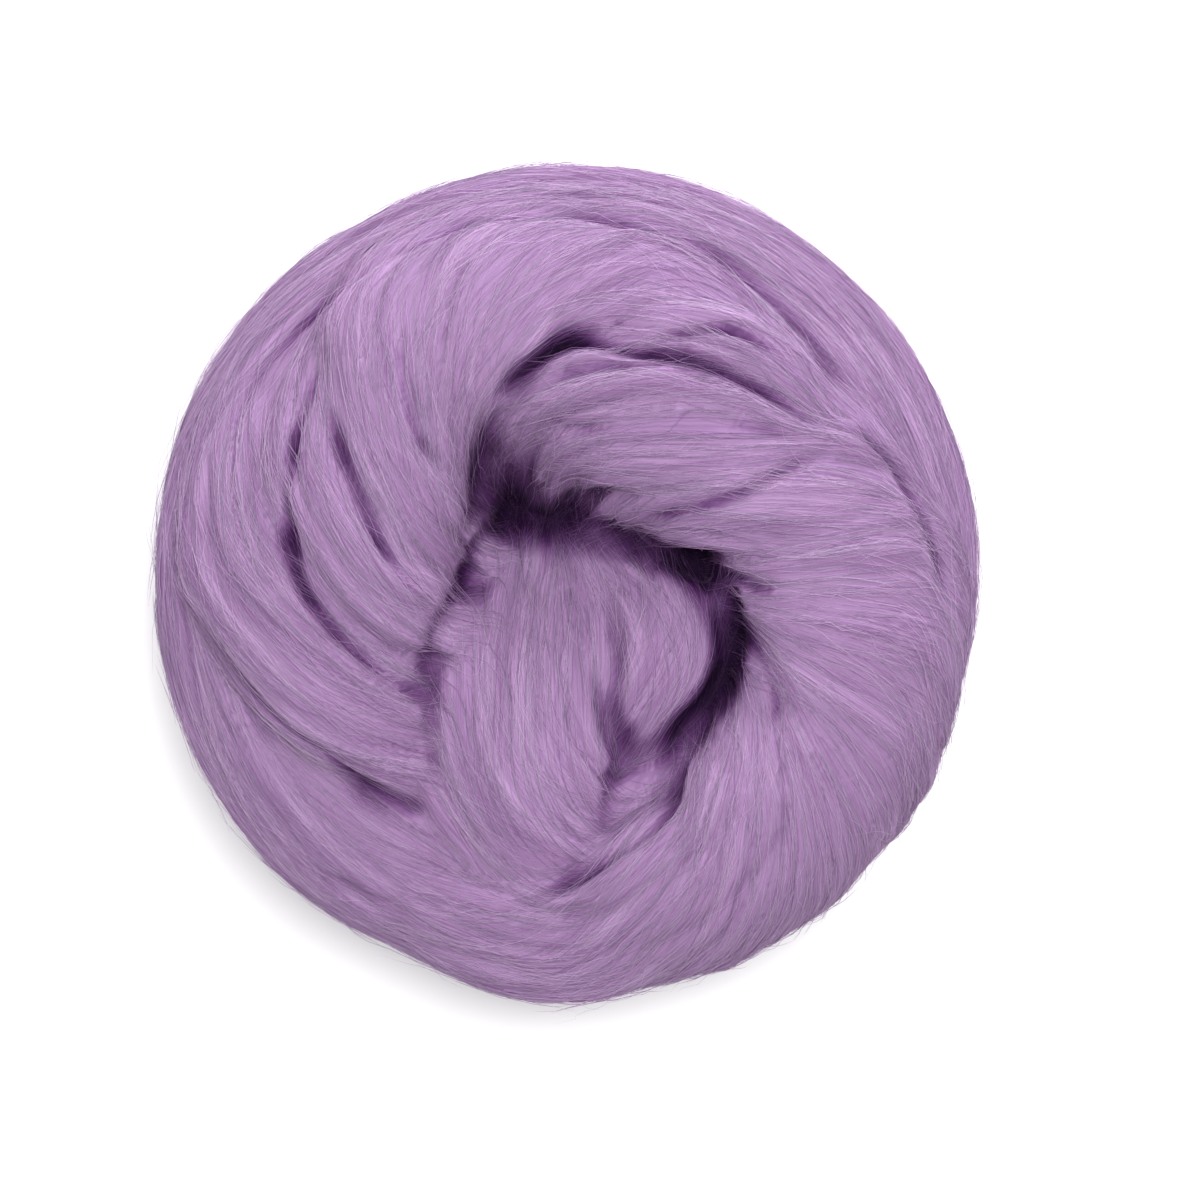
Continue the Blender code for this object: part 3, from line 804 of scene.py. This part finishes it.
# ---------------------------------------------------------------------------
# The combed fibres that lie on the locks, cross at slight angles and dive with them into
# the creases. Real ones are 0.02 mm thick, too fine to show, so each tube here stands for
# a few that lie together.
CRIMP_PER_METRE = 150.0
CRIMP_DRIFT = 0.05  # metres between the parts of the wave pattern that fibres take
SCATTER = 97.0  # makes a second random share out of a fibre's tone
WILD_POWER = 6.0  # so that few fibres leave the skin
FLIGHT_POWER = 2.0
TAPER_POWER = 3.0
TAPER = 0.85  # of the thickness is gone at the ends
TABLE_GAP = 0.2
MAP_CELLS = 80.0  # a side, enough for the fibres of any layer
CELL_FILL = 0.8
CELL_MARGIN = 0.1


def fibre_layer():
    """The tree that lays fibres over the skin along its flow."""
    sizes = dict.fromkeys(("Per square metre", "Step", "Thickness", "Lift", "Stray height"), "Float")
    sizes.update(dict.fromkeys(("Turn", "Stiffness", "Wave", "Cells a side"), "Float"))
    sizes.update({"Points": "Int", "Seed": "Int", "Wool": "Material"})
    tree = empty_tree("fibre layer", sizes)
    given = add(tree, "NodeGroupInput").outputs
    skin = given["Geometry"]
    place = add(tree, "GeometryNodeInputPosition")
    normal = add(tree, "GeometryNodeInputNormal")
    index = add(tree, "GeometryNodeInputIndex")
    known = {}
    for kind, names in (
        ("FLOAT", "cover crease bundle tone wild number along round"),
        ("FLOAT_VECTOR", "flow drift heading"),
    ):
        for name in names.split():
            known[name] = add(tree, "GeometryNodeInputNamedAttribute", {"Name": name}, data_type=kind)
    skin_flow, skin_place, skin_normal = (
        add(
            tree,
            "GeometryNodeSampleNearestSurface",
            {"Mesh": skin, "Value": value, "Sample Position": place},
            data_type="FLOAT_VECTOR",
        )
        for value in (known["flow"], place, normal)
    )

    # The roots of the fibres, each with a tone, a wildness and a drift of its own.
    counts = {0: known["cover"], 1: given["Per square metre"]}
    density = add(tree, "ShaderNodeMath", counts, operation="MULTIPLY")
    spread = {"Mesh": skin, "Density": density, "Seed": given["Seed"]}
    roots = add(tree, "GeometryNodeDistributePointsOnFaces", spread)
    for name, kind, limits, seed_step in (
        ("tone", "FLOAT", {2: 0.0, 3: 1.0}, 11),
        ("wild", "FLOAT", {2: 0.0, 3: 1.0}, 23),
        ("drift", "FLOAT_VECTOR", {0: (-1, -1, -1), 1: (1, 1, 1)}, 37),
    ):
        seed = add(tree, "ShaderNodeMath", {0: given["Seed"], 1: seed_step}, operation="ADD")
        own = add(tree, "FunctionNodeRandomValue", {**limits, "Seed": seed}, data_type=kind)
        told = {"Geometry": roots, "Name": name, "Value": own}
        roots = add(tree, "GeometryNodeStoreNamedAttribute", told, data_type=kind)
    told = {"Geometry": roots, "Name": "number", "Value": index}
    roots = add(tree, "GeometryNodeStoreNamedAttribute", told)
    line = add(tree, "GeometryNodeCurvePrimitiveLine", {"End": (0, 0, 1e-6)})
    line = add(tree, "GeometryNodeResampleCurve", {"Curve": line, "Count": given["Points"]})
    fibres = add(tree, "GeometryNodeInstanceOnPoints", {"Points": roots, "Instance": line})
    fibres = add(tree, "GeometryNodeRealizeInstances", {"Geometry": fibres})

    # A fibre starts along the flow, one way or the other, turned a little to one side.
    scattered = add(tree, "ShaderNodeMath", {0: known["tone"], 1: SCATTER}, operation="MULTIPLY")
    scattered = add(tree, "ShaderNodeMath", {0: scattered}, operation="FRACT")
    scattered = add(tree, "ShaderNodeMath", {0: scattered, 1: 0.5}, operation="SUBTRACT")
    way = add(tree, "ShaderNodeMath", {0: scattered}, operation="SIGN")
    ahead = add(tree, "ShaderNodeVectorMath", {0: skin_flow, "Scale": way}, operation="SCALE")
    aside = add(tree, "ShaderNodeVectorMath", {0: known["drift"], "Scale": given["Turn"]}, operation="SCALE")
    start = add(tree, "ShaderNodeVectorMath", {0: ahead, 1: aside}, operation="ADD")
    start = add(tree, "ShaderNodeVectorMath", {0: start}, operation="NORMALIZE")
    told = {"Geometry": fibres, "Name": "heading", "Value": start}
    fibres = add(tree, "GeometryNodeStoreNamedAttribute", told, data_type="FLOAT_VECTOR")

    # It grows point by point. Each round turns the points still to come along the flow
    # again and moves them a step on.
    steps = add(tree, "ShaderNodeMath", {0: given["Points"], 1: 1}, operation="SUBTRACT")
    repeat_in = tree.nodes.new("GeometryNodeRepeatInput")
    repeat_out = tree.nodes.new("GeometryNodeRepeatOutput")
    repeat_in.pair_with_output(repeat_out)
    tree.links.new(steps.outputs[0], repeat_in.inputs["Iterations"])
    tree.links.new(fibres.outputs[0], repeat_in.inputs["Geometry"])
    order = add(tree, "GeometryNodeSplineParameter").outputs["Index"]
    beyond = add(
        tree,
        "FunctionNodeCompare",
        {2: order, 3: repeat_in.outputs["Iteration"]},
        data_type="INT",
        operation="GREATER_THAN",
    )
    heading = known["heading"]
    agreement = add(tree, "ShaderNodeVectorMath", {0: skin_flow, 1: heading}, operation="DOT_PRODUCT")
    way = add(tree, "ShaderNodeMath", {0: agreement}, operation="SIGN")
    give = add(tree, "ShaderNodeMath", {0: 1.0, 1: given["Stiffness"]}, operation="SUBTRACT")
    pull = add(tree, "ShaderNodeMath", {0: way, 1: give}, operation="MULTIPLY")
    pull = add(tree, "ShaderNodeVectorMath", {0: skin_flow, "Scale": pull}, operation="SCALE")
    kept = add(tree, "ShaderNodeVectorMath", {0: heading, "Scale": given["Stiffness"]}, operation="SCALE")
    turned = add(tree, "ShaderNodeVectorMath", {0: kept, 1: pull}, operation="ADD")
    turned = add(tree, "ShaderNodeVectorMath", {0: turned}, operation="NORMALIZE")
    growing = repeat_in.outputs["Geometry"]
    told = {"Geometry": growing, "Selection": beyond, "Name": "heading", "Value": turned}
    growing = add(tree, "GeometryNodeStoreNamedAttribute", told, data_type="FLOAT_VECTOR")
    stride = add(tree, "ShaderNodeVectorMath", {0: heading, "Scale": given["Step"]}, operation="SCALE")
    growing = add(
        tree, "GeometryNodeSetPosition", {"Geometry": growing, "Selection": beyond, "Offset": stride}
    )

    # They come back down to the skin, or a little over it towards the end of a wild fibre.
    far = add(tree, "ShaderNodeMath", {0: order, 1: steps}, operation="DIVIDE")
    wildness = add(tree, "ShaderNodeMath", {0: known["wild"], 1: WILD_POWER}, operation="POWER")
    flight = add(tree, "ShaderNodeMath", {0: far, 1: FLIGHT_POWER}, operation="POWER")
    flight = add(tree, "ShaderNodeMath", {0: wildness, 1: flight}, operation="MULTIPLY")
    heights = {0: flight, 1: given["Stray height"], 2: given["Lift"]}
    height = add(tree, "ShaderNodeMath", heights, operation="MULTIPLY_ADD")
    rise = add(tree, "ShaderNodeVectorMath", {0: skin_normal, "Scale": height}, operation="SCALE")
    laid = add(tree, "ShaderNodeVectorMath", {0: skin_place, 1: rise}, operation="ADD")
    growing = add(
        tree, "GeometryNodeSetPosition", {"Geometry": growing, "Selection": beyond, "Position": laid}
    )
    tree.links.new(growing.outputs[0], repeat_out.inputs["Geometry"])
    fibres = repeat_out.outputs["Geometry"]

    # The crimp of the wool: each fibre waves in its own way, about every 7 mm.
    own_part = add(tree, "ShaderNodeVectorMath", {0: known["drift"], "Scale": CRIMP_DRIFT}, operation="SCALE")
    own_part = add(tree, "ShaderNodeVectorMath", {0: place, 1: own_part}, operation="ADD")
    crimp = add(tree, "ShaderNodeTexNoise", {"Vector": own_part, "Scale": CRIMP_PER_METRE, "Detail": 1.0})
    sway = add(
        tree, "ShaderNodeVectorMath", {0: crimp.outputs["Color"], 1: (0.5, 0.5, 0.5)}, operation="SUBTRACT"
    )
    sway = add(tree, "ShaderNodeVectorMath", {0: sway, "Scale": given["Wave"]}, operation="SCALE")
    fibres = add(tree, "GeometryNodeSetPosition", {"Geometry": fibres, "Offset": sway})

    # No fibre goes through the table.
    parts = add(tree, "ShaderNodeSeparateXYZ", {0: place}).outputs
    above = add(tree, "ShaderNodeMath", {0: parts[2], 1: TABLE_GAP * MM}, operation="MAXIMUM")
    above = add(tree, "ShaderNodeCombineXYZ", {0: parts[0], 1: parts[1], 2: above})
    fibres = add(tree, "GeometryNodeSetPosition", {"Geometry": fibres, "Position": above})

    # Each place on a fibre knows how deep in a crease it lies, for the painted shade there,
    # and which bundle it is in.
    for name in ("crease", "bundle"):
        below = {"Mesh": skin, "Value": known[name], "Sample Position": place}
        shared = add(tree, "GeometryNodeSampleNearestSurface", below)
        fibres = add(
            tree, "GeometryNodeStoreNamedAttribute", {"Geometry": fibres, "Name": name, "Value": shared}
        )

    # The fibres are round in section and thinner to both ends.
    off_middle = add(tree, "ShaderNodeMath", {0: far, 1: 2.0}, operation="MULTIPLY")
    off_middle = add(tree, "ShaderNodeMath", {0: off_middle, 1: 1.0}, operation="SUBTRACT")
    off_middle = add(tree, "ShaderNodeMath", {0: off_middle}, operation="ABSOLUTE")
    taper = add(tree, "ShaderNodeMath", {0: off_middle, 1: TAPER_POWER}, operation="POWER")
    taper = add(tree, "ShaderNodeMath", {0: taper, 1: TAPER}, operation="MULTIPLY")
    taper = add(tree, "ShaderNodeMath", {0: 1.0, 1: taper}, operation="SUBTRACT")
    radius = add(tree, "ShaderNodeMath", {0: given["Thickness"], 1: 0.5}, operation="MULTIPLY")
    radius = add(tree, "ShaderNodeMath", {0: taper, 1: radius}, operation="MULTIPLY")
    fibres = add(tree, "GeometryNodeStoreNamedAttribute", {"Geometry": fibres, "Name": "along", "Value": far})
    ring = add(tree, "GeometryNodeCurvePrimitiveCircle", {"Resolution": 3, "Radius": 1.0})
    corner = add(tree, "ShaderNodeMath", {0: index, 1: 3.0}, operation="DIVIDE")
    ring = add(tree, "GeometryNodeStoreNamedAttribute", {"Geometry": ring, "Name": "round", "Value": corner})
    tubes = add(
        tree,
        "GeometryNodeCurveToMesh",
        {"Curve": fibres, "Profile Curve": ring, "Scale": radius, "Fill Caps": True},
    )

    # Each has one cell of the finish's map to itself, with a margin all round.
    cells = given["Cells a side"]
    column = add(tree, "ShaderNodeMath", {0: known["number"], 1: cells}, operation="MODULO")
    row = add(tree, "ShaderNodeMath", {0: known["number"], 1: cells}, operation="DIVIDE")
    row = add(tree, "ShaderNodeMath", {0: row}, operation="FLOOR")
    corner = {}
    for axis, first, name in (("u", column, "along"), ("v", row, "round")):
        within = add(
            tree, "ShaderNodeMath", {0: known[name], 1: CELL_FILL, 2: CELL_MARGIN}, operation="MULTIPLY_ADD"
        )
        within = add(tree, "ShaderNodeMath", {0: first, 1: within}, operation="ADD")
        corner[axis] = add(tree, "ShaderNodeMath", {0: within, 1: cells}, operation="DIVIDE")
    cell = add(tree, "ShaderNodeCombineXYZ", {0: corner["u"], 1: corner["v"]})
    told = {"Geometry": tubes, "Name": "OFBake", "Value": cell}
    tubes = add(tree, "GeometryNodeStoreNamedAttribute", told, data_type="FLOAT2", domain="CORNER")

    tubes = add(tree, "GeometryNodeSetShadeSmooth", {"Geometry": tubes})
    whole = add(tree, "GeometryNodeRealizeInstances", {"Geometry": tubes})
    done = add(tree, "GeometryNodeSetMaterial", {"Geometry": whole, "Material": given["Wool"]})
    add(tree, "NodeGroupOutput", {0: done})
    return tree


def fibre_finish(name, dull, bright):
    """Dyed wool fibres: soft and matt, each in a shade between two, mostly its bundle's; creases get painted
    shade.
    """
    finish, shader = dyed_wool(name, roughness=0.6, sheen=0.1)
    tree = finish.node_tree
    own = add(tree, "ShaderNodeAttribute", attribute_name="tone").outputs["Fac"]
    bundle = add(tree, "ShaderNodeAttribute", attribute_name="bundle").outputs["Fac"]
    shared = add(tree, "ShaderNodeMapRange", {0: bundle, 1: 0.35, 2: 0.65})
    tone = add(tree, "ShaderNodeMix", {0: 0.7, 2: own, 3: shared})
    shade = add(tree, "ShaderNodeMix", {0: tone, 6: linear(dull), 7: linear(bright)}, data_type="RGBA")
    tree.links.new(painted_crease_shade(tree, shade, 1.5), shader.inputs["Base Color"])
    return finish


# Thickness, lift, stray, wave and step are in millimetres, and density in fibres for each
# square metre of skin.
layer_tree = fibre_layer()
Layer = namedtuple("Layer", "name dull bright seed density thick lift stray turn stiffness wave step points")
LAYERS = [
    Layer("grey_lilac_fibres", "#8A7895", "#A391AC", 1, 130000, 0.09, 0.08, 1.5, 0.22, 0.60, 0.6, 3.0, 8),
    Layer("purple_fibres", "#82608A", "#9C7CA7", 2, 130000, 0.09, 0.08, 1.5, 0.26, 0.60, 0.6, 3.0, 8),
    Layer("pink_lilac_fibres", "#9A79A2", "#B794BD", 3, 130000, 0.09, 0.09, 1.5, 0.28, 0.60, 0.7, 3.0, 8),
    Layer("pale_fibres", "#A68DAF", "#C2A9CA", 4, 130000, 0.07, 0.12, 1.8, 0.44, 0.70, 0.9, 2.6, 8),
    Layer("stray_fibres", "#AC8EB6", "#CFB6D7", 5, 70000, 0.05, 0.25, 3.0, 1.10, 0.80, 1.8, 1.7, 12),
]
for layer in LAYERS:
    fibres = bpy.data.objects.new(layer.name, wound_wool.data.copy())
    bpy.context.scene.collection.objects.link(fibres)
    fibres.data = plain_mesh(
        fibres,
        layer_tree,
        {
            "Per square metre": float(layer.density),
            "Step": layer.step * MM,
            "Thickness": layer.thick * MM,
            "Lift": layer.lift * MM,
            "Stray height": layer.stray * MM,
            "Turn": layer.turn,
            "Stiffness": layer.stiffness,
            "Wave": layer.wave * MM,
            "Points": layer.points,
            "Seed": layer.seed,
            "Cells a side": MAP_CELLS,
            "Wool": fibre_finish(layer.name.replace("_", " "), layer.dull, layer.bright),
        },
    )
    fibres.data.name = layer.name
    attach(fibres, "root")
    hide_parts("roving_ball")


# ---------------------------------------------------------------------------
# The table: a plain pale sheet that runs out of view on every side. White card is matt
# and even, so the ball's shadow is all that shows on it.
bpy.ops.mesh.primitive_plane_add(size=6)
table = bpy.context.object
table.name = "table"
card = bpy.data.materials.new("white card")
card.use_nodes = True
shader = card.node_tree.nodes["Principled BSDF"]
shader.inputs["Base Color"].default_value = linear("#FCFCFC")
shader.inputs["Roughness"].default_value = 0.9
table.data.materials.append(card)

# ---------------------------------------------------------------------------
# The studio: a soft light high to the upper right, a low one beyond the ball's far side
# and white walls all round. The camera looks straight down, as in the photograph. Places
# here are in metres.
CAMERA_PLACE = (0.0045, -0.0028, 0.73)
LIGHT_AIM = (0, 0, 0.03)
WALL_GLOW = 0.48

camera = bpy.data.objects.new("camera", bpy.data.cameras.new("camera"))
bpy.context.scene.collection.objects.link(camera)
camera.data.lens = 150
camera.location = CAMERA_PLACE
bpy.context.scene.camera = camera


def soft_light(name, place, size, watts):
    """A square soft box that shines on the ball."""
    lamp = bpy.data.lights.new(name, "AREA")
    lamp.size = size
    lamp.energy = watts
    holder = bpy.data.objects.new(name, lamp)
    bpy.context.scene.collection.objects.link(holder)
    holder.location = place
    holder.rotation_mode = "QUATERNION"
    holder.rotation_quaternion = (Vector(LIGHT_AIM) - Vector(place)).to_track_quat("-Z", "Y")


soft_light("key light", place=(0.06, 0.065, 0.94), size=0.32, watts=9.4)
soft_light("edge light", place=(0.2, 0.72, 0.12), size=0.4, watts=7)
world = bpy.data.worlds.new("white walls")
bpy.context.scene.world = world
world.use_nodes = True
world.node_tree.nodes["Background"].inputs["Color"].default_value = (1, 1, 1, 1)
world.node_tree.nodes["Background"].inputs["Strength"].default_value = WALL_GLOW
bpy.context.scene.view_settings.view_transform = "Standard"
